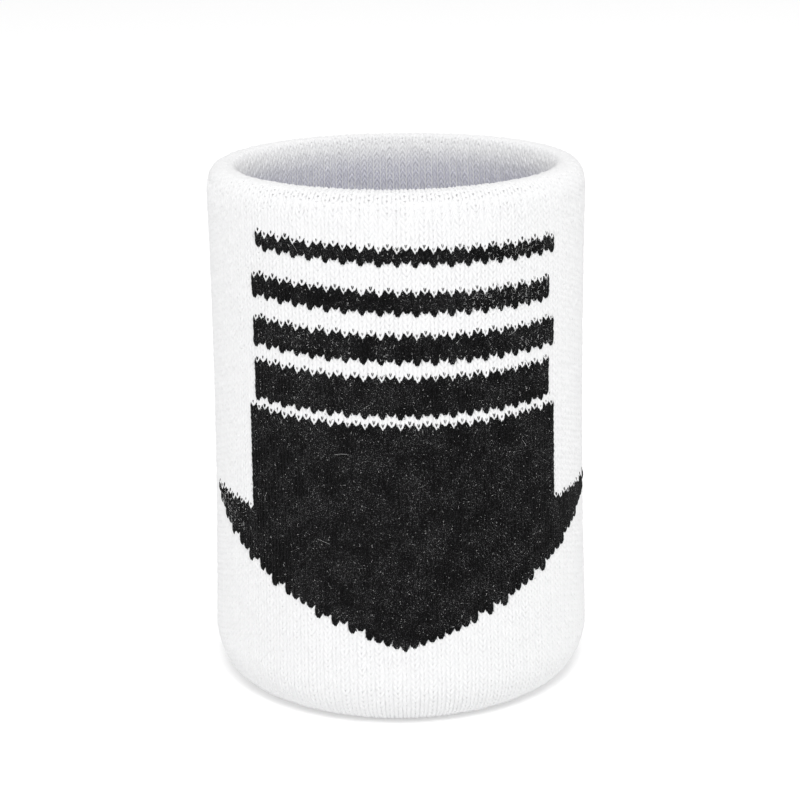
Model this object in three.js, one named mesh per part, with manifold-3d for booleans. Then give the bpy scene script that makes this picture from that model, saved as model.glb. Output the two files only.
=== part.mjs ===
// A knitted sweat wristband with a pattern of four stripes and an arrow.
// Millimetres, +Z up. The band stands on its lower rim at z = 0, its axis is the Z axis and the
// middle of the pattern faces -Y. The fabric is a tube folded in at both rims: an outer face that
// turns in over the rims, a knitted lining that closes the inside, and elastic thread laid between.

import * as THREE from 'three';
import { TessellateModifier } from 'three/addons/modifiers/TessellateModifier.js';
import { mergeVertices } from 'three/addons/utils/BufferGeometryUtils.js';
import Module from 'manifold-3d';

// Overall sizes of the outside. The band is wider at the foot by flare, all round, and its wall
// draws in by waistDepth at half height.
const bandHeight = 80;
const bandRadius = 29.1;
const flare = 1.2;
const waistDepth = 0.58;

// The layers of the wall, from the outside in
const faceThickness = 1.5;
const threadRoom = 1.5;
const liningThickness = 1.6;

// The rolled rims: how far and how high the outside curves in, the flat crest that the band rests
// on, and the same for the inside. A fullness of 2 is an ellipse, and more is squarer.
const upperFold = { inset: 2.75, height: 4.3, fullness: 2.5, crest: 0.6, innerInset: 1.35, innerHeight: 2.6 };
const lowerFold = { inset: 5.1, height: 7, fullness: 2.1, crest: 0.8, innerInset: 1, innerHeight: 3 };
const bulgeReach = 13;

// How far the face reaches down and up inside the band, where the lining takes over
const upperTurnIn = 8;
const lowerTurnIn = 14;
const fabricGap = 0.3;

// The seam that links the two ends of the tube, inside above the lower rim
const seamRadius = 0.6;
const seamDepth = 0.1;

// The elastic thread between the layers
const threadCount = 12;
const threadRadius = 0.4;
const threadMargin = 3;

// The gauge of the knitting: one course is a row of stitches, and one wale is a column of them
const courseHeight = 0.88;
const waleWidth = 1.3;

// The pattern, in courses and wales
const coursesAboveStripes = 9;
const stripes = [
  { courses: 2, wales: 37, coursesBelow: 5 },
  { courses: 3, wales: 39, coursesBelow: 4 },
  { courses: 4, wales: 39, coursesBelow: 3 },
  { courses: 6, wales: 39, coursesBelow: 2 },
];
const shaftWales = 39;
const headWales = 61;
const headCourses = 21;
const coursesBelowArrow = 15;

// The black fabric is a layer let into the face
const inlayThickness = 0.7;
const inlayGap = 0.3;

// How finely the curves are divided
const stepsAround = 40;
const foldSteps = 5;
const wallSteps = 7;
const turnInSteps = 3;
const longestInlayEdge = 6.5;

const wasm = await Module();
wasm.setup();

const whiteKnit = { color: 0xf3f3f4, roughness: 0.95, metalness: 0 };
const blackKnit = { color: 0x1b1b1d, roughness: 0.95, metalness: 0 };
const liningYarn = { color: 0xe6e6ec, roughness: 1, metalness: 0 };
const elastic = { color: 0xd8d8d2, roughness: 0.7, metalness: 0 };

const { lerp, smoothstep } = THREE.MathUtils;

// The wall's surfaces at a height

function outerRadius(z) {
  const t = z / bandHeight;
  return bandRadius + flare * (0.5 - t) - waistDepth * 4 * t * (1 - t);
}

function roomOuterRadius(z) {
  return outerRadius(z) - faceThickness;
}

function roomInnerRadius(z) {
  return roomOuterRadius(z) - threadRoom;
}

// Where the folds end and the wall begins, outside and inside
const outsideLow = lowerFold.height;
const outsideHigh = bandHeight - upperFold.height;
const insideLow = lowerFold.innerHeight;
const insideHigh = bandHeight - upperFold.innerHeight;

// How much thicker than the wall a rim is, so that its crest fits between its two curves
function bulge(fold, outsideZ, insideZ) {
  const innermost = outerRadius(outsideZ) - fold.inset - fold.crest - fold.innerInset;
  return roomInnerRadius(insideZ) - liningThickness - innermost;
}

const lowerBulge = bulge(lowerFold, outsideLow, insideLow);
const upperBulge = bulge(upperFold, outsideHigh, insideHigh);

function innerRadius(z) {
  const nearLower = 1 - smoothstep(z, insideLow, bulgeReach);
  const nearUpper = smoothstep(z, bandHeight - bulgeReach, insideHigh);
  const thickening = lowerBulge * nearLower + upperBulge * nearUpper;
  return roomInnerRadius(z) - liningThickness - thickening;
}

// Heights from one end to the other, both included
function heights(from, to, steps = wallSteps) {
  return Array.from({ length: steps + 1 }, (_, i) => lerp(from, to, i / steps));
}

function along(radiusAt, zs) {
  return zs.map((z) => new THREE.Vector2(radiusAt(z), z));
}

// A quarter of a superellipse from the wall at (radius, z) to the crest, without its first point
function quarterFold(radius, z, across, rise, fullness) {
  const points = [];
  for (let i = 1; i <= foldSteps; i += 1) {
    const angle = (i / foldSteps) * Math.PI / 2;
    const outward = Math.max(Math.cos(angle), 0) ** (2 / fullness);
    const upward = Math.sin(angle) ** (2 / fullness);
    points.push(new THREE.Vector2(radius - across * (1 - outward), z + rise * upward));
  }
  return points;
}

function turned(points) {
  const geometry = new THREE.LatheGeometry([...points, points[0]], stepsAround);
  return geometry.rotateX(Math.PI / 2);
}

function toSolid(geometry) {
  const bare = geometry.clone();
  bare.deleteAttribute('normal');
  bare.deleteAttribute('uv');
  const merged = mergeVertices(bare, 1e-4);
  return new wasm.Manifold(new wasm.Mesh({
    numProp: 3,
    vertProperties: new Float32Array(merged.attributes.position.array),
    triVerts: new Uint32Array(merged.index.array),
  }));
}

function toGeometry(solid) {
  const mesh = solid.getMesh();
  const geometry = new THREE.BufferGeometry();
  geometry.setAttribute('position', new THREE.BufferAttribute(mesh.vertProperties, 3));
  geometry.setIndex(new THREE.BufferAttribute(mesh.triVerts, 1));
  geometry.computeVertexNormals();
  return geometry;
}

// The knitting chart on the wall

const walesAround = 2 * Math.round(Math.PI * bandRadius / waleWidth);
const bandCourses = Math.round(bandHeight / courseHeight);

function heightOfCourse(course) {
  return bandHeight - course * courseHeight;
}

// Wraps a flat shape, x along the wales and y up, into a layer of the wall. Depths count inwards.
function wrapped(shape, innerDepth, outerDepth) {
  const depth = innerDepth - outerDepth;
  const flat = new THREE.ExtrudeGeometry(shape, { depth, bevelEnabled: false });
  const layer = new TessellateModifier(longestInlayEdge, 16).modify(flat);
  const position = layer.attributes.position;
  const anglePerWidth = 2 * Math.PI / (walesAround * waleWidth);
  for (let i = 0; i < position.count; i += 1) {
    const angle = position.getX(i) * anglePerWidth;
    const z = position.getY(i);
    const radius = outerRadius(z) - innerDepth + position.getZ(i);
    position.setXYZ(i, radius * Math.sin(angle), -radius * Math.cos(angle), z);
  }
  return layer;
}

function stripeShape(stripe, top, margin) {
  const half = stripe.wales * waleWidth / 2 + margin;
  const high = heightOfCourse(top) + margin;
  const low = heightOfCourse(top + stripe.courses) - margin;
  return new THREE.Shape([
    new THREE.Vector2(-half, low),
    new THREE.Vector2(half, low),
    new THREE.Vector2(half, high),
    new THREE.Vector2(-half, high),
  ]);
}

// The shaft runs down from the last stripe and the head fills the courses down to the point
function arrowShape(top, margin) {
  const pointCourse = bandCourses - coursesBelowArrow;
  const shoulder = heightOfCourse(pointCourse - headCourses);
  const halfShaft = shaftWales * waleWidth / 2;
  const halfHead = headWales * waleWidth / 2;
  const slope = Math.atan2(headCourses * courseHeight, halfHead);
  const tip = halfHead + margin * (1 + 1 / Math.cos(slope)) / Math.tan(slope);
  const point = heightOfCourse(pointCourse) - margin / Math.cos(slope);
  return new THREE.Shape([
    new THREE.Vector2(0, point),
    new THREE.Vector2(tip, shoulder + margin),
    new THREE.Vector2(halfShaft + margin, shoulder + margin),
    new THREE.Vector2(halfShaft + margin, heightOfCourse(top) + margin),
    new THREE.Vector2(-halfShaft - margin, heightOfCourse(top) + margin),
    new THREE.Vector2(-halfShaft - margin, shoulder + margin),
    new THREE.Vector2(-tip, shoulder + margin),
  ]);
}

// Every black area as its name and its shape, which takes a margin
function blackAreas() {
  const areas = [];
  let course = coursesAboveStripes;
  stripes.forEach((stripe, i) => {
    const top = course;
    areas.push({ name: `stripe_${i + 1}`, shape: (margin) => stripeShape(stripe, top, margin) });
    course += stripe.courses + stripe.coursesBelow;
  });
  areas.push({ name: 'arrow', shape: (margin) => arrowShape(course, margin) });
  return areas;
}

// The outer fabric with its turned-in rims, and a pocket for each black area
function faceKnit(areas) {
  const turnInHigh = bandHeight - upperTurnIn;
  const lowerOuter = quarterFold(
    outerRadius(outsideLow), outsideLow, lowerFold.inset, -lowerFold.height, lowerFold.fullness,
  );
  const lowerInner = quarterFold(
    innerRadius(insideLow), insideLow, -lowerFold.innerInset, -lowerFold.innerHeight, 2,
  );
  const upperOuter = quarterFold(
    outerRadius(outsideHigh), outsideHigh, upperFold.inset, upperFold.height, upperFold.fullness,
  );
  const upperInner = quarterFold(
    innerRadius(insideHigh), insideHigh, -upperFold.innerInset, upperFold.innerHeight, 2,
  );
  const section = [
    ...along(innerRadius, heights(lowerTurnIn, insideLow, turnInSteps)),
    ...lowerInner,
    ...lowerOuter.reverse(),
    ...along(outerRadius, heights(outsideLow, outsideHigh)),
    ...upperOuter,
    ...upperInner.reverse(),
    ...along(innerRadius, heights(insideHigh, turnInHigh, turnInSteps)),
    ...along(roomInnerRadius, [turnInHigh, outsideHigh]),
    ...along(roomOuterRadius, heights(outsideHigh, outsideLow)),
    ...along(roomInnerRadius, [outsideLow, lowerTurnIn]),
  ];
  let face = toSolid(turned(section));
  for (const area of areas) {
    const pocket = wrapped(area.shape(inlayGap), inlayThickness + inlayGap, -1);
    face = face.subtract(toSolid(pocket));
  }
  return toGeometry(face);
}

// A ring of round cord about the axis
function cordRing(radius, z, cordRadius, sides) {
  return new THREE.TorusGeometry(radius, cordRadius, sides, stepsAround).translate(0, 0, z);
}

const seamHeight = lowerTurnIn + fabricGap + seamRadius;

function closingSeam() {
  const radius = innerRadius(seamHeight) + seamRadius + seamDepth;
  return cordRing(radius, seamHeight, seamRadius, 6);
}

function liningKnit() {
  const low = seamHeight + seamRadius + fabricGap;
  const high = bandHeight - upperTurnIn - fabricGap;
  return turned([
    ...along(innerRadius, heights(high, low)),
    ...along(roomInnerRadius, heights(low, high)),
  ]);
}

function elasticThread(i) {
  const low = outsideLow + threadMargin;
  const high = outsideHigh - threadMargin;
  const z = lerp(low, high, i / (threadCount - 1));
  return cordRing(roomInnerRadius(z) + threadRoom / 2, z, threadRadius, 4);
}

const band = new THREE.Group();

function add(name, geometry, looks) {
  const mesh = new THREE.Mesh(geometry, new THREE.MeshStandardMaterial(looks));
  mesh.name = name;
  band.add(mesh);
}

const areas = blackAreas();
add('face_knit', faceKnit(areas), whiteKnit);
for (const area of areas) {
  add(area.name, toGeometry(toSolid(wrapped(area.shape(0), inlayThickness, 0))), blackKnit);
}
add('lining_knit', liningKnit(), liningYarn);
add('closing_seam', closingSeam(), whiteKnit);
for (let i = 0; i < threadCount; i += 1) {
  add(`elastic_thread_${String(i + 1).padStart(2, '0')}`, elasticThread(i), elastic);
}

export default band;
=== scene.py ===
# A knitted sweat wristband: white, with black stripes and an arrow knitted in, standing on its lower rim.
# The fabric is one knitted tube folded in at both rims. Every stitch lies on a flat chart, x along the
# courses and y along the fold path, and is then wrapped round the wall.

import math
import random
from collections import namedtuple

import bpy
from mathutils import Euler, Matrix, Vector


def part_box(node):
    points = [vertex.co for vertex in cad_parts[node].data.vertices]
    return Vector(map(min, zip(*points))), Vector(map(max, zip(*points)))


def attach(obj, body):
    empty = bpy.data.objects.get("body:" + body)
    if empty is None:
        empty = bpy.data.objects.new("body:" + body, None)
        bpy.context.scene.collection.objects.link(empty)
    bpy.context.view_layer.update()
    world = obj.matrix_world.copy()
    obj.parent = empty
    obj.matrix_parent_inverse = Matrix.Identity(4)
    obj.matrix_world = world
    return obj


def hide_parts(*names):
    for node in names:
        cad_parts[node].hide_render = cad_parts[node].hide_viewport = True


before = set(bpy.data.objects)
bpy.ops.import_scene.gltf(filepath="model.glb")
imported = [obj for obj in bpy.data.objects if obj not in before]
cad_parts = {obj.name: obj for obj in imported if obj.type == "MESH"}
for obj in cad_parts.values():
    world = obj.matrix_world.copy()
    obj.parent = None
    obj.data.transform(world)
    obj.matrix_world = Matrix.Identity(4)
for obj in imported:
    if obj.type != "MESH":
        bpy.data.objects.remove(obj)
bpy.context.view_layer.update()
print("frame loaded:", len(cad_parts), "nodes")

mm = 0.001
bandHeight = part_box("face_knit")[1].z  # metres


class Link:
    # a socket in a node tree; arithmetic on links adds their Math nodes
    def __init__(self, tree, socket=None):
        self.tree = tree
        self.socket = socket

    def node(self, kind, settings=None, inputs=None, output=0):
        made = self.tree.nodes.new(kind)
        for name, value in (settings or {}).items():
            setattr(made, name, value)
        for name, value in (inputs or {}).items():
            socket = made.inputs[name]
            for item in value if isinstance(value, list) else [value]:
                if isinstance(item, Link):
                    self.tree.links.new(item.socket, socket)
                else:
                    socket.default_value = item
        return Link(self.tree, made.outputs[output])

    def out(self, name):
        return Link(self.tree, self.socket.node.outputs[name])

    def math(self, operation, *values):
        return self.node("ShaderNodeMath", {"operation": operation}, dict(enumerate(values)))

    def __add__(self, other):
        return self.math("ADD", self, other)

    def __radd__(self, other):
        return self.math("ADD", other, self)

    def __sub__(self, other):
        return self.math("SUBTRACT", self, other)

    def __rsub__(self, other):
        return self.math("SUBTRACT", other, self)

    def __mul__(self, other):
        return self.math("MULTIPLY", self, other)

    def __rmul__(self, other):
        return self.math("MULTIPLY", other, self)

    def __truediv__(self, other):
        return self.math("DIVIDE", self, other)


wall = {  # millimetres
    "radius": 29.1,
    "flare": 1.2,
    "waistDepth": 0.58,
    "thickness": 4.6,
    "upperInset": 2.75,
    "upperHeight": 4.3,
    "upperFullness": 2.5,
    "upperCrest": 0.6,
    "upperInnerInset": 1.9,
    "upperInnerHeight": 4.2,
    "lowerInset": 5.1,
    "lowerHeight": 7,
    "lowerFullness": 2.1,
    "lowerCrest": 0.8,
    "lowerInnerInset": 1,
    "lowerInnerHeight": 3,
    "bulgeReach": 13,
    "seamHeight": 14.9,
    "upperTurnIn": 8,
}
height = bandHeight / mm
pathSteps = {"fold": 24, "foot": 12, "wall": 60}  # steps of each fold, below the seam and along a wall
samePoint = 0.02  # millimetres between points of the path that count as one


def smooth(value, low, high):
    t = min(max((value - low) / (high - low), 0), 1)
    return t * t * (3 - 2 * t)


def outerRadius(z):
    t = z / height
    return wall["radius"] + wall["flare"] * (0.5 - t) - wall["waistDepth"] * 4 * t * (1 - t)


def rimBulge(rim, outsideZ, insideZ):
    across = wall[rim + "Inset"] + wall[rim + "Crest"] + wall[rim + "InnerInset"]
    return across + outerRadius(insideZ) - wall["thickness"] - outerRadius(outsideZ)


def innerRadius(z):
    lowZ, highZ = wall["lowerInnerHeight"], height - wall["upperInnerHeight"]
    lowBulge = rimBulge("lower", wall["lowerHeight"], lowZ)
    highBulge = rimBulge("upper", height - wall["upperHeight"], highZ)
    thick = lowBulge * (1 - smooth(z, lowZ, wall["bulgeReach"]))
    thick += highBulge * smooth(z, height - wall["bulgeReach"], highZ)
    return outerRadius(z) - wall["thickness"] - thick


def foldPoints(radius, z, across, rise, fullness):
    # a quarter of a superellipse, from the wall to the crest
    steps = pathSteps["fold"]
    points = []
    for i in range(1, steps + 1):
        angle = i / steps * math.pi / 2
        outward = max(math.cos(angle), 0) ** (2 / fullness)
        upward = math.sin(angle) ** (2 / fullness)
        points.append((radius - across * (1 - outward), z + rise * upward))
    return points


def wallPoints(radiusAt, fromZ, toZ, steps):
    heights = [fromZ + (toZ - fromZ) * i / steps for i in range(steps + 1)]
    return [(radiusAt(z), z) for z in heights]


def foldPath():
    # from the seam down inside, round the lower rim, up the outside, over the top and down to the seam
    lowZ, highZ = wall["lowerInnerHeight"], height - wall["upperInnerHeight"]
    outLow, outHigh = wall["lowerHeight"], height - wall["upperHeight"]
    lowIn = foldPoints(innerRadius(lowZ), lowZ, -wall["lowerInnerInset"], -lowZ, 2)
    lowOut = foldPoints(outerRadius(outLow), outLow, wall["lowerInset"], -outLow, wall["lowerFullness"])
    highRise = height - outHigh
    highOut = foldPoints(outerRadius(outHigh), outHigh, wall["upperInset"], highRise, wall["upperFullness"])
    highIn = foldPoints(innerRadius(highZ), highZ, -wall["upperInnerInset"], height - highZ, 2)
    points = wallPoints(innerRadius, wall["seamHeight"], lowZ, pathSteps["foot"])
    points += lowIn + lowOut[::-1]
    points += wallPoints(outerRadius, outLow, outHigh, pathSteps["wall"])
    points += highOut + highIn[::-1]
    points += wallPoints(innerRadius, highZ, wall["seamHeight"], pathSteps["wall"])
    kept = [points[0]]
    for point in points[1:]:
        if math.dist(point, kept[-1]) > samePoint:
            kept.append(point)
    return kept


path = foldPath()
reach = [0.0]
for before, after in zip(path, path[1:]):
    reach.append(reach[-1] + math.dist(before, after))
pathLength = reach[-1]


def outsideLength(level):
    # the length along the path at which the outer wall reaches a height
    nearEnough = 0.01  # millimetres
    for s, (r, z) in zip(reach, path):
        if r > outerRadius(z) - nearEnough and z >= level - nearEnough:
            return s


topStart = outsideLength(height - wall["upperHeight"])


def pathAt(s, depth):
    # radius and height at a length along the path, depth millimetres above the fabric's face
    s = min(max(s, 0), pathLength - 1e-6)
    i = max(k for k in range(len(reach) - 1) if reach[k] <= s)
    (r0, z0), (r1, z1) = path[i], path[i + 1]
    step = reach[i + 1] - reach[i]
    t = (s - reach[i]) / step
    across, along = (z1 - z0) / step, -(r1 - r0) / step
    return r0 + (r1 - r0) * t + across * depth, z0 + (z1 - z0) * t + along * depth


curveData = bpy.data.curves.new("foldPath", "CURVE")
curveData.dimensions = "3D"
spline = curveData.splines.new("POLY")
spline.points.add(len(path) - 1)
for point, (r, z) in zip(spline.points, path):
    point.co = (r * mm, 0, z * mm, 1)
pathObject = bpy.data.objects.new("foldPath", curveData)
bpy.context.scene.collection.objects.link(pathObject)
print("fold path:", round(pathLength, 1), "mm, widest", round(max(r for r, z in path), 2))

knit = {  # millimetres, courses and wales
    "waleWidth": 1.3,
    "courseHeight": 0.88,
    "walesAround": 140,
    "deepWaleDrop": 0.45,  # courses by which every second wale sits lower
    "lift": 0.16,  # courses by which the stitches sit above their row
    "slant": 0.034,  # how far the courses near the top slope down to the right
    "slantEnds": (56, 9, -20, -70),  # courses where the slant starts, is full, fades and is gone
    "sag": 0.7,  # millimetres by which the courses rise towards the sides
    "sagEnds": (56, 38, -20, -70),
    "coursesAboveStripes": 9,
    "stripeCourses": [2, 3, 4, 6],
    "stripeSpans": [(-18, 19), (-19, 18), (-19, 19), (-19, 18)],  # first and last wale
    "coursesBelowStripe": [5, 4, 3, 2],
    "shaftSpan": (-20, 19),
    "tipWale": -1,
    "headReach": (30.5, 32),  # wales from the tip out to the left and right wing
    "twist": 0.01,  # millimetres that the wales move to the right for each one down
    "headCourses": 21,
    "pointCourse": 76,
    "headBow": 1.6,  # courses by which the head's lower edges bulge between point and wing
}
aroundLength = knit["walesAround"] * knit["waleWidth"]
seamRoom = 0.3  # courses left free between the seam and the rows beside it
Stitch = namedtuple("Stitch", "wale course node y")  # node is None for white, y is in millimetres


def blackArea(wale, course):
    # the node that a stitch belongs to, or None for a white one
    top = knit["coursesAboveStripes"]
    rows = zip(knit["stripeCourses"], knit["stripeSpans"], knit["coursesBelowStripe"])
    for i, (courses, span, below) in enumerate(rows):
        if top <= course < top + courses and span[0] <= wale <= span[1]:
            return "stripe_" + str(i + 1)
        top += courses + below
    shoulder = knit["pointCourse"] - knit["headCourses"]
    if top <= course < shoulder and knit["shaftSpan"][0] <= wale <= knit["shaftSpan"][1]:
        return "arrow"
    fromTip = wale - knit["tipWale"]
    out = abs(fromTip) / knit["headReach"][fromTip > 0]
    rise = knit["headCourses"] * out - knit["headBow"] * 4 * out * (1 - out)
    if shoulder <= course and out < 1 and course + 0.5 <= knit["pointCourse"] - rise:
        return "arrow"
    return None


def courseY(course):
    # where a course's middle lies along the path; course 0 is the first one below the top of the wall
    return topStart + wall["upperHeight"] - (course + 0.5) * knit["courseHeight"]


def slantAt(wale, course):
    # millimetres by which a stitch sits lower than its course
    across = math.sin(2 * math.pi * wale / knit["walesAround"])
    shares = []
    for start, full, fade, gone in (knit["slantEnds"], knit["sagEnds"]):
        shares.append(smooth(-course, -start, -full) * (1 - smooth(-course, -fade, -gone)))
    return knit["slant"] * shares[0] * wall["radius"] * across - knit["sag"] * shares[1] * across**2


firstCourse = math.ceil((courseY(0) - pathLength) / knit["courseHeight"] + seamRoom)
lastCourse = math.floor(courseY(0) / knit["courseHeight"] - seamRoom)
liningStart = pathLength - (height - wall["upperTurnIn"] - wall["seamHeight"])
stitches = []
for course in range(firstCourse, lastCourse + 1):
    for step in range(knit["walesAround"]):
        wale = step - knit["walesAround"] // 2
        drop = (knit["deepWaleDrop"] * (wale % 2) - knit["lift"]) * knit["courseHeight"]
        y = courseY(course) - drop - slantAt(wale, course)
        stitches.append(Stitch(wale, course, blackArea(wale, course), y))
print("stitches:", len(stitches), "courses", firstCourse, "to", lastCourse)


def newMaterial(name):
    material = bpy.data.materials.new(name)
    material.use_nodes = True
    tree = material.node_tree
    return material, Link(tree), tree.nodes["Principled BSDF"]


def setShader(shader, values):
    for name, value in values.items():
        if isinstance(value, Link):
            value.tree.links.new(value.socket, shader.inputs[name])
        else:
            shader.inputs[name].default_value = value


def bumped(make, relief, strength, distance):
    inputs = {"Strength": strength, "Distance": distance, "Height": relief}
    return make.node("ShaderNodeBump", None, inputs)


def mixColour(factor, first, second):
    settings = {"data_type": "RGBA"}
    return factor.node("ShaderNodeMix", settings, {0: factor, 6: first, 7: second}, 2)


def noise(make, vector, scale, detail=2.0):
    return make.node("ShaderNodeTexNoise", None, {"Vector": vector, "Scale": scale, "Detail": detail})


def stretched(make, vector, factors):
    return make.node("ShaderNodeVectorMath", {"operation": "MULTIPLY"}, {0: vector, 1: factors})


def above(value, threshold, width):
    inputs = {"Value": value, "From Min": threshold, "From Max": threshold + width}
    return value.node("ShaderNodeMapRange", {"interpolation_type": "SMOOTHSTEP"}, inputs)


whiteYarn = {  # colours from strand to strand; shadeShare says how strongly the shade shows
    "pale": (0.845, 0.845, 0.848, 1),
    "shade": (0.765, 0.765, 0.775, 1),
    "shadeShare": 0.6,
    "fibreDepth": 0.03 * mm,
    "sheen": 0.1,
}
# painted shade: the lining is the same white yarn as the face; this darker, bluish tone stands in for the
# shade inside the tube
liningShadeYarn = {
    "pale": (0.74, 0.74, 0.81, 1),
    "shade": (0.64, 0.64, 0.71, 1),
    "shadeShare": 0.8,
    "fibreDepth": 0.05 * mm,
    "sheen": 0.1,
}
# millimetres: painted shade inside the opening, where white passes into the lining's darker tone inside the
# radius, from the top level to the bottom one
turnInShade = {"radius": 25.2, "blend": 0.8, "bottom": 73.5, "top": 78.6}
yarnGrain = {  # noise scales, how far the noise is drawn out upwards, and each noise's share
    "patchScale": 420,
    "patchShare": 0.4,
    "streakScale": 1500,
    "streakStretch": (1, 1, 0.09),
    "streakShare": 0.9,
    "fibreScale": 7000,
    "fibreStretch": (1, 1, 0.35),
    "fibreShare": 0.5,
}


def yarnColour(make, looks, place, fibre):
    grain = yarnGrain
    patch = noise(make, place, grain["patchScale"])
    streak = noise(make, stretched(make, place, grain["streakStretch"]), grain["streakScale"])
    mottle = fibre * grain["fibreShare"] + patch * grain["patchShare"] + streak * grain["streakShare"]
    return mixColour((mottle - 0.5) * looks["shadeShare"], looks["pale"], looks["shade"])


def whiteYarnMaterial(name, looks, inside=None):
    material, make, shader = newMaterial(name)
    place = make.node("ShaderNodeTexCoord", None, None, "Object")
    drawnOut = stretched(make, place, yarnGrain["fibreStretch"])
    fibre = noise(make, drawnOut, yarnGrain["fibreScale"], 3)
    colour = yarnColour(make, looks, place, fibre)
    # painted shade: darker towards the axis and lower down inside the opening, blending into the lining's
    # shaded tone
    if inside:
        flat = stretched(make, place, (1, 1, 0))
        radius = make.node("ShaderNodeVectorMath", {"operation": "LENGTH"}, {0: flat}, 1)
        level = make.node("ShaderNodeSeparateXYZ", None, {0: place}).out("Z")
        inward = 1.0 - above(radius, (turnInShade["radius"] - turnInShade["blend"]) * mm, turnInShade["blend"] * mm)
        low = 1.0 - above(level, turnInShade["bottom"] * mm, (turnInShade["top"] - turnInShade["bottom"]) * mm)
        colour = mixColour(inward * low, colour, yarnColour(make, inside, place, fibre))
    bump = bumped(make, fibre, 0.5, looks["fibreDepth"])
    setShader(shader, {"Base Color": colour, "Normal": bump, "Roughness": 0.95})
    setShader(shader, {"Specular IOR Level": 0.2, "Sheen Weight": looks["sheen"], "Sheen Roughness": 0.6})
    return material


blackYarn = {
    "dark": (0.003, 0.003, 0.0032, 1),
    "worn": (0.009, 0.009, 0.0095, 1),
    "speck": (0.34, 0.34, 0.345, 1),
    "speckFrom": 0.655,  # noise values at which specks, wear and dense patches start, and how softly
    "speckBlend": 0.06,
    "wornFibre": 0.7,
    "wornPatch": 0.45,
    "wornFrom": 0.5,
    "wornBlend": 0.2,
    "denseFrom": 0.35,
    "denseBlend": 0.3,
    "sparseShare": 0.3,  # strength of the specks outside the dense patches
    "speckScale": 9000,
    "speckStretch": (1, 1, 1.4),
    "fibreScale": 6500,
    "patchScale": 300,
    "fibreDepth": 0.10 * mm,
}


def blackYarnMaterial(name, looks):
    material, make, shader = newMaterial(name)
    place = make.node("ShaderNodeTexCoord", None, None, "Object")
    fibre = noise(make, place, looks["fibreScale"], 3)
    patch = noise(make, place, looks["patchScale"])
    wear = fibre * looks["wornFibre"] + patch * looks["wornPatch"]
    worn = above(wear, looks["wornFrom"], looks["wornBlend"])
    speckle = noise(make, stretched(make, place, looks["speckStretch"]), looks["speckScale"], 1)
    specks = above(speckle, looks["speckFrom"], looks["speckBlend"])
    dense = above(patch, looks["denseFrom"], looks["denseBlend"])
    strength = dense * (1 - looks["sparseShare"]) + looks["sparseShare"]
    colour = mixColour(worn, looks["dark"], looks["worn"])
    colour = mixColour(specks * strength, colour, looks["speck"])
    bump = bumped(make, fibre, 0.5, looks["fibreDepth"])
    setShader(shader, {"Base Color": colour, "Normal": bump, "Roughness": 0.9})
    setShader(shader, {"Specular IOR Level": 0.07, "Sheen Weight": 0.015, "Sheen Roughness": 0.5})
    return material


elasticThread = {
    "pale": (0.74, 0.74, 0.71, 1),
    "wrapped": (0.62, 0.62, 0.58, 1),
    "wraps": 2200,
    "unevenness": 1.5,
    "wrapDepth": 0.05 * mm,
}


def elasticMaterial(looks):
    material, make, shader = newMaterial("coveredElastic")
    place = make.node("ShaderNodeTexCoord", None, None, "Object")
    inputs = {"Vector": place, "Scale": looks["wraps"], "Distortion": looks["unevenness"], "Detail": 1.0}
    wraps = make.node("ShaderNodeTexWave", {"bands_direction": "DIAGONAL"}, inputs, 1)
    bump = bumped(make, wraps, 0.4, looks["wrapDepth"])
    colour = mixColour(wraps, looks["pale"], looks["wrapped"])
    setShader(shader, {"Base Color": colour, "Normal": bump, "Roughness": 0.7})
    return material


whiteKnit = whiteYarnMaterial("whiteKnit", whiteYarn)
# the top turn-in carries painted shade: its white yarn darkens towards the inside of the opening
turnInKnit = whiteYarnMaterial("turnInKnit", whiteYarn, liningShadeYarn)
# painted shade: the lining's knit is darker and bluish because the inside of the tube is in shade
liningKnit = whiteYarnMaterial("liningKnit", liningShadeYarn)
seamThread = whiteYarnMaterial("seamThread", {**whiteYarn, "fibreDepth": 0.04 * mm})
blackKnit = blackYarnMaterial("blackKnit", blackYarn)
coveredElastic = elasticMaterial(elasticThread)
print("materials made")

stitchShape = {  # shares of the wale width and of the course height; depths in millimetres
    "footGap": 0.07,
    "footDrop": -0.84,
    "kneeOut": 0.24,
    "kneeRise": -0.20,
    "topOut": 0.43,
    "topRise": 0.85,
    "strand": 0.345,
    "bed": -0.25,
    "footDepth": -0.02,
    "kneeDepth": 0.06,
    "topDepth": -0.16,
    "footThick": 0.70,
    "topThick": 0.55,
    "blackStrand": 1.10,  # how much thicker and longer a black stitch is than a white one
    "blackLength": 1.12,
    "blackLift": 0.10,
    "plateWidth": 1.06,  # the plate that closes the gaps behind a black stitch
    "plateHeight": 1.25,
    "plateThick": 0.12,
    "plateDepth": -0.05,
    "deepWale": (0.92, 1.08),  # width and height of the stitches in the deep and in the shallow wales
    "shallowWale": (1.04, 0.94),
}
uneven = {  # how far stitches stray to either side: radians, millimetres, share of their height
    "turn": 0.05,
    "lift": 0.05,
    "slide": 0.03,
    "height": 0.03,
}


def newTree(name, sizes):
    # a tree that takes points on the chart and gives geometry; sizes are (name, kind, default)
    tree = bpy.data.node_groups.new(name, "GeometryNodeTree")
    tree.interface.new_socket("Geometry", in_out="INPUT", socket_type="NodeSocketGeometry")
    for label, kind, value in sizes:
        socket = tree.interface.new_socket(label, in_out="INPUT", socket_type="NodeSocket" + kind)
        if value is not None:
            socket.default_value = value
    tree.interface.new_socket("Geometry", in_out="OUTPUT", socket_type="NodeSocketGeometry")
    entry = tree.nodes.new("NodeGroupInput")
    make = Link(tree)
    return tree, make, {s.name: Link(tree, s) for s in entry.outputs if s.name}


def endTree(tree, geometry):
    exitNode = tree.nodes.new("NodeGroupOutput")
    tree.links.new(geometry.socket, exitNode.inputs[0])


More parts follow.
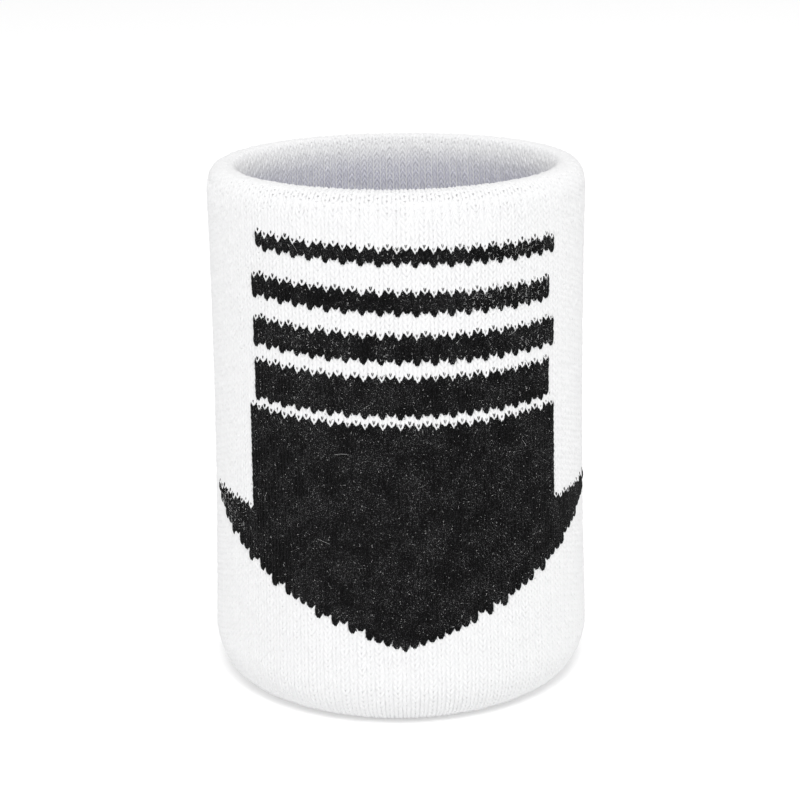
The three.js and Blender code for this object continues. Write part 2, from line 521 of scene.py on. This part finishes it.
def vector(make, x, y, z):
    return make.node("ShaderNodeCombineXYZ", None, {"X": x, "Y": y, "Z": z})


def turnedBy(make, tilt, turn):
    return make.node("FunctionNodeEulerToRotation", None, {"Euler": vector(make, tilt, 0.0, turn)})


def randomNumber(make, low, high, seed, salt):
    inputs = {2: low, 3: high, "Seed": seed + salt}
    return make.node("FunctionNodeRandomValue", {"data_type": "FLOAT"}, inputs, 1)


def wrapped(make, geometry, pathIn, aroundIn, lengthIn):
    # keeps the chart place as a UV map, then bends the flat chart round the wall
    place = make.node("GeometryNodeInputPosition")
    flat = place.node("ShaderNodeSeparateXYZ", None, {0: place})
    x, y, depth = flat, flat.out("Y"), flat.out("Z")
    uv = vector(make, x / aroundIn + 0.5, y / lengthIn, 0.0)
    geometry = make.node(
        "GeometryNodeStoreNamedAttribute",
        {"data_type": "FLOAT2", "domain": "CORNER"},
        {"Geometry": geometry, "Name": "OFBake", "Value": uv},
    )
    curve = make.node("GeometryNodeObjectInfo", None, {"Object": pathIn}, "Geometry")
    inputs = {"Curves": curve, "Length": y}
    sample = make.node("GeometryNodeSampleCurve", {"mode": "LENGTH"}, inputs, "Position")
    spot = make.node("ShaderNodeSeparateXYZ", None, {0: sample})
    run = make.node("ShaderNodeSeparateXYZ", None, {0: sample.out("Tangent")})
    radius = spot + run.out("Z") * depth
    level = spot.out("Z") - run * depth
    angle = x * (2 * math.pi) / aroundIn
    right, back = radius * angle.math("SINE", angle), 0 - radius * angle.math("COSINE", angle)
    around = vector(make, right, back, level)
    return make.node("GeometryNodeSetPosition", None, {"Geometry": geometry, "Position": around})


def finished(make, solid, given):
    # instances made real, wrapped round the wall, smooth and in their yarn
    solid = make.node("GeometryNodeRealizeInstances", None, {"Geometry": solid})
    solid = wrapped(make, solid, given["Path"], given["Around"], given["Path length"])
    solid = make.node("GeometryNodeSetShadeSmooth", None, {"Geometry": solid})
    return make.node("GeometryNodeSetMaterial", None, {"Geometry": solid, "Material": given["Material"]})


def strandCurve(make, points, steps):
    start, middle, end = points
    inputs = {"Resolution": steps, "Start": start, "Middle": middle, "End": end}
    return make.node("GeometryNodeCurveQuadraticBezier", None, inputs)


def tube(make, curve, radius, sides, footThick, topThick):
    # a strand that is thickest at its middle
    ring = make.node("GeometryNodeCurvePrimitiveCircle", None, {"Resolution": sides, "Radius": radius})
    along = make.node("GeometryNodeSplineParameter")
    fromFoot = 1.0 - along * 2.0
    footPart = fromFoot.math("MAXIMUM", fromFoot, 0.0)
    topPart = fromFoot.math("MAXIMUM", 0.0 - fromFoot, 0.0)
    thick = 1.0 - footPart * footPart * (1 - footThick) - topPart * topPart * (1 - topThick)
    inputs = {"Curve": curve, "Profile Curve": ring, "Scale": thick, "Fill Caps": True}
    return make.node("GeometryNodeCurveToMesh", None, inputs)


def stitchTree():
    sizes = [
        ("Wale width", "Float", knit["waleWidth"] * mm),
        ("Course height", "Float", knit["courseHeight"] * mm),
        ("Strand radius", "Float", stitchShape["strand"] * mm),
        ("Steps", "Int", 3),
        ("Sides", "Int", 5),
        ("Backing", "Float", 0.0),
        ("Around", "Float", aroundLength * mm),
        ("Path length", "Float", pathLength * mm),
        ("Path", "Object", None),
        ("Material", "Material", None),
        ("Seed", "Int", 1),
    ]
    tree, make, given = newTree("knitStitches", sizes)
    shape = stitchShape
    wide, tall = given["Wale width"], given["Course height"]
    legs = []
    for side in (-1, 1):
        points = []
        for part, out, up in (("foot", "Gap", "Drop"), ("knee", "Out", "Rise"), ("top", "Out", "Rise")):
            x, y = wide * (side * shape[part + out]), tall * shape[part + up]
            points.append(vector(make, x, y, shape[part + "Depth"] * mm))
        legs.append(strandCurve(make, points, given["Steps"]))
    curves = make.node("GeometryNodeJoinGeometry", None, {0: legs})
    thicks = (shape["footThick"], shape["topThick"])
    stitch = tube(make, curves, given["Strand radius"], given["Sides"], *thicks)
    plateSize = (wide * shape["plateWidth"], tall * shape["plateHeight"], shape["plateThick"] * mm)
    plate = make.node("GeometryNodeMeshCube", None, {"Size": vector(make, *plateSize)})
    plateAt = vector(make, 0.0, 0.0, shape["plateDepth"] * mm)
    plate = make.node("GeometryNodeTransform", None, {"Geometry": plate, "Translation": plateAt})
    hasPlate = given["Backing"].math("GREATER_THAN", given["Backing"], 0.5)
    backed = make.node("GeometryNodeJoinGeometry", None, {0: [stitch, plate]})
    stitch = make.node("GeometryNodeSwitch", None, {"Switch": hasPlate, "False": stitch, "True": backed})
    settings = {"data_type": "FLOAT_VECTOR"}
    stretch = make.node("GeometryNodeInputNamedAttribute", settings, {"Name": "stretch"})
    turn = randomNumber(make, -uneven["turn"], uneven["turn"], given["Seed"], 0)
    lift = randomNumber(make, -uneven["lift"] * mm, uneven["lift"] * mm, given["Seed"], 1)
    slide = randomNumber(make, -uneven["slide"] * mm, uneven["slide"] * mm, given["Seed"], 2)
    inputs = {"Geometry": given["Geometry"], "Offset": vector(make, slide, 0.0, lift)}
    points = make.node("GeometryNodeSetPosition", None, inputs)
    rotation = turnedBy(make, 0.0, turn)
    inputs = {"Points": points, "Instance": stitch, "Rotation": rotation, "Scale": stretch}
    instances = make.node("GeometryNodeInstanceOnPoints", None, inputs)
    endTree(tree, finished(make, instances, given))
    return tree


hairShape = {
    "bowAside": 0.22,  # shares of the length
    "bowUp": 0.18,
    "startDepth": -0.05,  # millimetres
    "endDepth": -0.02,
    "startThick": 0.5,  # shares of the radius
    "endThick": 0.4,
    "steps": 4,
    "sides": 3,
    "fullTurn": 6.283,  # radians
    "tilt": 0.5,  # radians to either side
    "sizes": (0.4, 1.3),  # smallest and largest share of the hair length
}


def hairTree():
    sizes = [
        ("Hair length", "Float", 1.0 * mm),
        ("Hair radius", "Float", 0.02 * mm),
        ("Around", "Float", aroundLength * mm),
        ("Path length", "Float", pathLength * mm),
        ("Path", "Object", None),
        ("Material", "Material", None),
        ("Seed", "Int", 1),
    ]
    tree, make, given = newTree("looseFibres", sizes)
    shape = hairShape
    long = given["Hair length"]
    points = [
        vector(make, long * -0.5, 0.0, shape["startDepth"] * mm),
        vector(make, 0.0, long * shape["bowAside"], long * shape["bowUp"]),
        vector(make, long * 0.5, 0.0, shape["endDepth"] * mm),
    ]
    thicks = (shape["startThick"], shape["endThick"])
    curve = strandCurve(make, points, shape["steps"])
    hair = tube(make, curve, given["Hair radius"], shape["sides"], *thicks)
    turn = randomNumber(make, 0.0, shape["fullTurn"], given["Seed"], 0)
    tilt = randomNumber(make, -shape["tilt"], shape["tilt"], given["Seed"], 1)
    size = randomNumber(make, *shape["sizes"], given["Seed"], 2)
    inputs = {
        "Points": given["Geometry"],
        "Instance": hair,
        "Rotation": turnedBy(make, tilt, turn),
        "Scale": vector(make, size, size, 1.0),
    }
    hairs = make.node("GeometryNodeInstanceOnPoints", None, inputs)
    endTree(tree, finished(make, hairs, given))
    return tree


def pointsObject(name, places, stretches):
    mesh = bpy.data.meshes.new(name)
    mesh.from_pydata(places, [], [])
    attribute = mesh.attributes.new("stretch", "FLOAT_VECTOR", "POINT")
    for item, stretch in zip(attribute.data, stretches):
        item.vector = stretch
    made = bpy.data.objects.new(name, mesh)
    bpy.context.scene.collection.objects.link(made)
    return made


def grown(made, tree, values):
    # runs a tree on the points and keeps the result as a plain mesh
    modifier = made.modifiers.new("knit", "NODES")
    modifier.node_group = tree
    idOf = {s.name: s.identifier for s in tree.interface.items_tree if s.in_out == "INPUT"}
    for label, value in values.items():
        modifier[idOf[label]] = value
    depsgraph = bpy.context.evaluated_depsgraph_get()
    mesh = bpy.data.meshes.new_from_object(made.evaluated_get(depsgraph), depsgraph=depsgraph)
    made.modifiers.remove(modifier)
    old = made.data
    name = made.name
    made.data = mesh
    bpy.data.meshes.remove(old)
    mesh.name = name
    for spare in [a.name for a in mesh.attributes if a.name in ("stretch", "radius")]:
        mesh.attributes.remove(mesh.attributes[spare])
    return made


stitchTreeMade = stitchTree()
hairTreeMade = hairTree()
rng = random.Random(7)
# steps along a strand and sides round it
detail = {"seen": (3, 5), "turnedIn": (3, 4), "inside": (2, 4)}
# the first seed of each group of pieces
seeds = {"face": 10, "lining": 20, "black": 30, "seam": 41, "fibres": 51, "loopHeads": 61}


def chartX(wale, y):
    return wale * knit["waleWidth"] + knit["twist"] * (topStart - y)


def stitchPlace(stitch):
    depth = stitchShape["bed"] + (stitchShape["blackLift"] if stitch.node else 0)
    return (chartX(stitch.wale, stitch.y) * mm, stitch.y * mm, depth * mm)


def stitchStretch(stitch):
    # every second wale is narrow and deep, the others broad and shallow
    wide, tall = stitchShape["deepWale" if stitch.wale % 2 else "shallowWale"]
    share = 1 + rng.uniform(-uneven["height"], uneven["height"])
    return (wide, tall * (share * (stitchShape["blackLength"] if stitch.node else 1)), 1)


def knitPiece(name, members, material, level, seed):
    made = pointsObject(name, [stitchPlace(s) for s in members], [stitchStretch(s) for s in members])
    steps, sides = detail[level]
    values = {"Path": pathObject, "Material": material, "Steps": steps, "Sides": sides, "Seed": seed}
    if members[0].node:  # black stitches are thicker, with a plate behind each
        values["Backing"] = 1.0
        values["Strand radius"] = stitchShape["strand"] * stitchShape["blackStrand"] * mm
    return grown(made, stitchTreeMade, values)


faceCourses = sorted({s.course for s in stitches if s.y <= liningStart}, reverse=True)
liningCourses = sorted({s.course for s in stitches} - set(faceCourses), reverse=True)
faceZones = [
    "foot_turn_in",
    "lower_rim",
    "lower_wall",
    "middle_wall",
    "upper_wall",
    "upper_rim",
    "top_turn_in",
]
liningZones = ["lining_upper", "lining_middle", "lining_lower"]
pieces = {}
share = math.ceil(len(faceCourses) / len(faceZones))
for i, zone in enumerate(faceZones):
    rows = set(faceCourses[i * share:(i + 1) * share])
    members = [s for s in stitches if s.course in rows and s.node is None]
    level = "turnedIn" if zone.endswith("turn_in") else "seen"
    # the top turn-in gets the painted shade that darkens it inside the opening
    yarn = turnInKnit if zone == "top_turn_in" else whiteKnit
    pieces["face_" + zone] = knitPiece("face_" + zone, members, yarn, level, seeds["face"] + i)
share = math.ceil(len(liningCourses) / len(liningZones))
for i, zone in enumerate(liningZones):
    rows = set(liningCourses[i * share:(i + 1) * share])
    members = [s for s in stitches if s.course in rows]
    pieces[zone] = knitPiece(zone, members, liningKnit, "inside", seeds["lining"] + i)
blackNodes = ["stripe_1", "stripe_2", "stripe_3", "stripe_4", "arrow"]
for i, area in enumerate(blackNodes):
    members = [s for s in stitches if s.node == area]
    pieces[area + "_knit"] = knitPiece(area + "_knit", members, blackKnit, "seen", seeds["black"] + i)
areaOf = {(s.wale, s.course): s.node for s in stitches}
# where the colour changes: millimetres, and the head's size as a share of a stitch
loopHeads = {"strand": 0.2, "size": (0.36, 0.42, 0.75), "raise": 0.15}


def headPiece(name, members, material):
    # the head of the loop below, seen between the legs of the first stitch in the other colour
    places = []
    for stitch in members:
        x, y, depth = stitchPlace(stitch)
        places.append((x, y, depth + loopHeads["raise"] * mm))
    made = pointsObject(name, places, [loopHeads["size"]] * len(places))
    steps, sides = detail["inside"]
    values = {"Path": pathObject, "Material": material, "Steps": steps, "Sides": sides}
    values["Seed"] = seeds["loopHeads"]
    values["Strand radius"] = loopHeads["strand"] * mm
    return grown(made, stitchTreeMade, values)


lastWhite = [s for s in stitches if not s.node and areaOf.get((s.wale, s.course + 1))]
pieces["black_loop_heads"] = headPiece("black_loop_heads", lastWhite, blackKnit)
for name, made in pieces.items():
    made.data.calc_loop_triangles()
    print(name, len(made.data.loop_triangles), "triangles")

base = {  # depths in millimetres; the shell rises closer under the plain knit of the upper rim
    "frontDepth": 0.20,
    "rimDepth": 0.16,
    "rimBlend": (-4, 0),
    "backDepth": 1.2,
    "stepsAround": 140,
    "stepsAlong": 84,
}


def fabricBase():
    # a closed shell under the stitches, from one side of the seam round both rims to the other
    rows = base["stepsAlong"]
    blendStart, blendEnd = (topStart + offset for offset in base["rimBlend"])
    section = []
    for i in range(rows + 1):
        s = pathLength * i / rows
        closer = smooth(s, blendStart, blendEnd) * (base["frontDepth"] - base["rimDepth"])
        section.append(pathAt(s, closer - base["frontDepth"]))
    section += [pathAt(pathLength * i / rows, -base["backDepth"]) for i in range(rows, -1, -1)]
    count = base["stepsAround"]
    places = []
    for r, z in section:
        for k in range(count):
            angle = 2 * math.pi * k / count
            places.append((r * math.sin(angle) * mm, -r * math.cos(angle) * mm, z * mm))
    faces = []
    for i in range(len(section)):
        j = (i + 1) % len(section)
        for k in range(count):
            n = (k + 1) % count
            faces.append((i * count + k, i * count + n, j * count + n, j * count + k))
    mesh = bpy.data.meshes.new("fabric_base")
    mesh.from_pydata(places, [], faces)
    mesh.shade_smooth()
    mesh.materials.append(whiteKnit)
    made = bpy.data.objects.new("fabric_base", mesh)
    bpy.context.scene.collection.objects.link(made)
    return made


pieces["fabric_base"] = fabricBase()
print("fabric base:", len(pieces["fabric_base"].data.polygons), "faces")

seam = {"links": 150, "strandRadius": 0.22, "depth": -0.05, "size": (0.9, 0.8, 1)}


def linkingSeam():
    # a chain along the start of the fold path, which is also its end
    pitch = aroundLength / seam["links"]
    places = []
    for k in range(seam["links"]):
        x = (k - seam["links"] / 2) * pitch
        places.append((x * mm, 0.0, seam["depth"] * mm))
    made = pointsObject("closing_seam_chain", places, [seam["size"]] * len(places))
    steps, sides = detail["seen"]
    values = {"Path": pathObject, "Material": seamThread, "Steps": steps, "Sides": sides}
    values["Seed"] = seeds["seam"]
    values["Strand radius"] = seam["strandRadius"] * mm
    return grown(made, stitchTreeMade, values)


pieces["closing_seam_chain"] = linkingSeam()

fibres = {  # lengths, radii and depths in millimetres; spread is how far they stray from their stitch
    "onBlack": {"count": 4200, "length": 0.21, "radius": 0.02, "spread": 1, "depth": 0.06},
    "long": {"count": 16, "length": 2.2, "radius": 0.012, "spread": 1, "depth": 0.05},
    "darkAtEdges": {"count": 900, "length": 0.5, "radius": 0.02, "spread": 1.6, "depth": 0.0},
    "paleAtEdges": {"count": 900, "length": 0.5, "radius": 0.02, "spread": 1.6, "depth": 0.02},
    "tufted": {"length": 0.9, "radius": 0.013, "spread": 1, "depth": 0.04},
}
# (wale, course, reach, count): where fibres have worked loose and lie thickly
tufts = [(15, 11, 5, 110), (13, 17, 6, 220), (17, 27, 3, 60), (-26, 57, 4, 150), (-8, 23, 6, 50)]
tuftShape = 0.7  # courses that a tuft reaches up and down for each wale of its reach
strayAside, strayUp = 0.5, 0.6  # wales and millimetres to either side, times the spread


def fibrePiece(name, places, material, sizes, seed):
    made = pointsObject(name, places, [(1, 1, 1)] * len(places))
    values = {"Path": pathObject, "Material": material, "Seed": seed}
    values["Hair length"] = sizes["length"] * mm
    values["Hair radius"] = sizes["radius"] * mm
    return grown(made, hairTreeMade, values)


def atEdge(stitch):
    beside = ((0, 1), (0, -1), (1, 0), (-1, 0))
    return any(not areaOf.get((stitch.wale + dw, stitch.course + dc)) for dw, dc in beside)


blackStitches = [s for s in stitches if s.node]
edgeStitches = [s for s in blackStitches if atEdge(s)]


def scattered(members, sizes, count):
    places = []
    for k in range(count):
        stitch = rng.choice(members)
        x = chartX(stitch.wale + rng.uniform(-strayAside, strayAside) * sizes["spread"], stitch.y)
        y = stitch.y + rng.uniform(-strayUp, strayUp) * sizes["spread"]
        places.append((x * mm, y * mm, sizes["depth"] * mm))
    return places


def tufted(members, sizes):
    places = []
    for wale, course, reach, count in tufts:
        wide = [s for s in members if abs(s.wale - wale) <= reach]
        near = [s for s in wide if abs(s.course - course) <= reach * tuftShape]
        places += scattered(near, sizes, count)
    return places


paleFibre = whiteYarnMaterial("paleFibre", {**whiteYarn, "pale": (0.85, 0.85, 0.85, 1)})
darkFibre = blackYarnMaterial("darkFibre", blackYarn)
fibrePieces = [  # name, kind, stitches, material
    ("pale_fibres", "onBlack", blackStitches, paleFibre),
    ("long_fibres", "long", blackStitches, paleFibre),
    ("dark_edge_fibres", "darkAtEdges", edgeStitches, darkFibre),
    ("pale_edge_fibres", "paleAtEdges", edgeStitches, whiteKnit),
    ("tuft_fibres", "tufted", blackStitches, paleFibre),
]
for i, (name, kind, members, material) in enumerate(fibrePieces):
    own = fibres[kind]
    places = scattered(members, own, own["count"]) if "count" in own else tufted(members, own)
    pieces[name] = fibrePiece(name, places, material, own, seeds["fibres"] + i)
print("loose fibres made")

for name, made in pieces.items():
    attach(made, "root")
    if name.startswith("face_"):
        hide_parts("face_knit")
    elif name.startswith("lining_"):
        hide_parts("lining_knit")
    elif name.endswith("_knit"):
        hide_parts(name.removesuffix("_knit"))
    elif name == "closing_seam_chain":
        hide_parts("closing_seam")
    elif name == "fabric_base":
        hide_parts("face_knit", "lining_knit")
    elif name in ("dark_edge_fibres", "black_loop_heads"):
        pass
    else:
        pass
for name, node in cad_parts.items():
    if name.startswith("elastic_thread"):
        node.data.materials.clear()
        node.data.materials.append(coveredElastic)
bpy.data.objects.remove(pathObject)
print("pieces ride on the band:", len(pieces))

studio = {  # metres and watts, unless a line says otherwise
    "floorSize": 12,
    "floorDepth": 0.05,  # millimetres below the band
    "floorTone": 0.8,
    "floorGlow": 0.25,
    "domeStrength": 0.75,
    "sidePower": 1.0,
    "sideSize": 0.7,
    "sideAt": (0.95, -0.8, 0.28),
    "sideAim": (0, 0, 0.04),
    "topPower": 26.0,
    "topSize": 1.0,
    "topAt": (0.0, -1.2, 2.1),
    "topAim": (0, 0, 0.08),
    "lens": 88.4,  # millimetres
    "sensorWidth": 36,  # millimetres
    "clipStart": 0.01,
    "cameraAt": (-13.1, -293.7, 129.0),  # millimetres
    "cameraTurn": (73.55, 0.0, -2.60),  # degrees
    "cameraRoll": 0.7,  # degrees
}
floorPlace = (0, 0, -studio["floorDepth"] * mm)
bpy.ops.mesh.primitive_plane_add(size=studio["floorSize"], location=floorPlace)
floor = bpy.context.active_object
floor.name = "floor"
floorMaterial, _, floorShader = newMaterial("paleFloor")
tone = studio["floorTone"]
setShader(floorShader, {"Base Color": (tone, tone, tone, 1), "Roughness": 0.9, "Specular IOR Level": 0.1})
setShader(floorShader, {"Emission Color": (1, 1, 1, 1), "Emission Strength": studio["floorGlow"]})
floor.data.materials.append(floorMaterial)

world = bpy.data.worlds.new("studioDome")
world.use_nodes = True
dome = world.node_tree.nodes["Background"]
dome.inputs["Color"].default_value = (1, 1, 1, 1)
dome.inputs["Strength"].default_value = studio["domeStrength"]
bpy.context.scene.world = world


def addArea(name, place, aim, power, size):
    light = bpy.data.lights.new(name, "AREA")
    light.energy = power
    light.size = size
    made = bpy.data.objects.new(name, light)
    made.location = place
    made.rotation_euler = (Vector(aim) - Vector(place)).to_track_quat("-Z", "Y").to_euler()
    bpy.context.scene.collection.objects.link(made)


sideX, sideY, sideZ = studio["sideAt"]
for name, side in (("softLeft", -1), ("softRight", 1)):
    place = (side * sideX, sideY, sideZ)
    addArea(name, place, studio["sideAim"], studio["sidePower"], studio["sideSize"])
addArea("softTop", studio["topAt"], studio["topAim"], studio["topPower"], studio["topSize"])

cameraData = bpy.data.cameras.new("camera")
cameraData.lens = studio["lens"]
cameraData.sensor_width = studio["sensorWidth"]
cameraData.clip_start = studio["clipStart"]
camera = bpy.data.objects.new("camera", cameraData)
camera.location = Vector(studio["cameraAt"]) * mm
aimed = Euler([math.radians(a) for a in studio["cameraTurn"]]).to_matrix()
rolled = aimed @ Matrix.Rotation(math.radians(-studio["cameraRoll"]), 3, "Z")
camera.rotation_euler = rolled.to_euler()
bpy.context.scene.collection.objects.link(camera)
bpy.context.scene.camera = camera
bpy.context.scene.view_settings.view_transform = "Standard"
print("studio set")
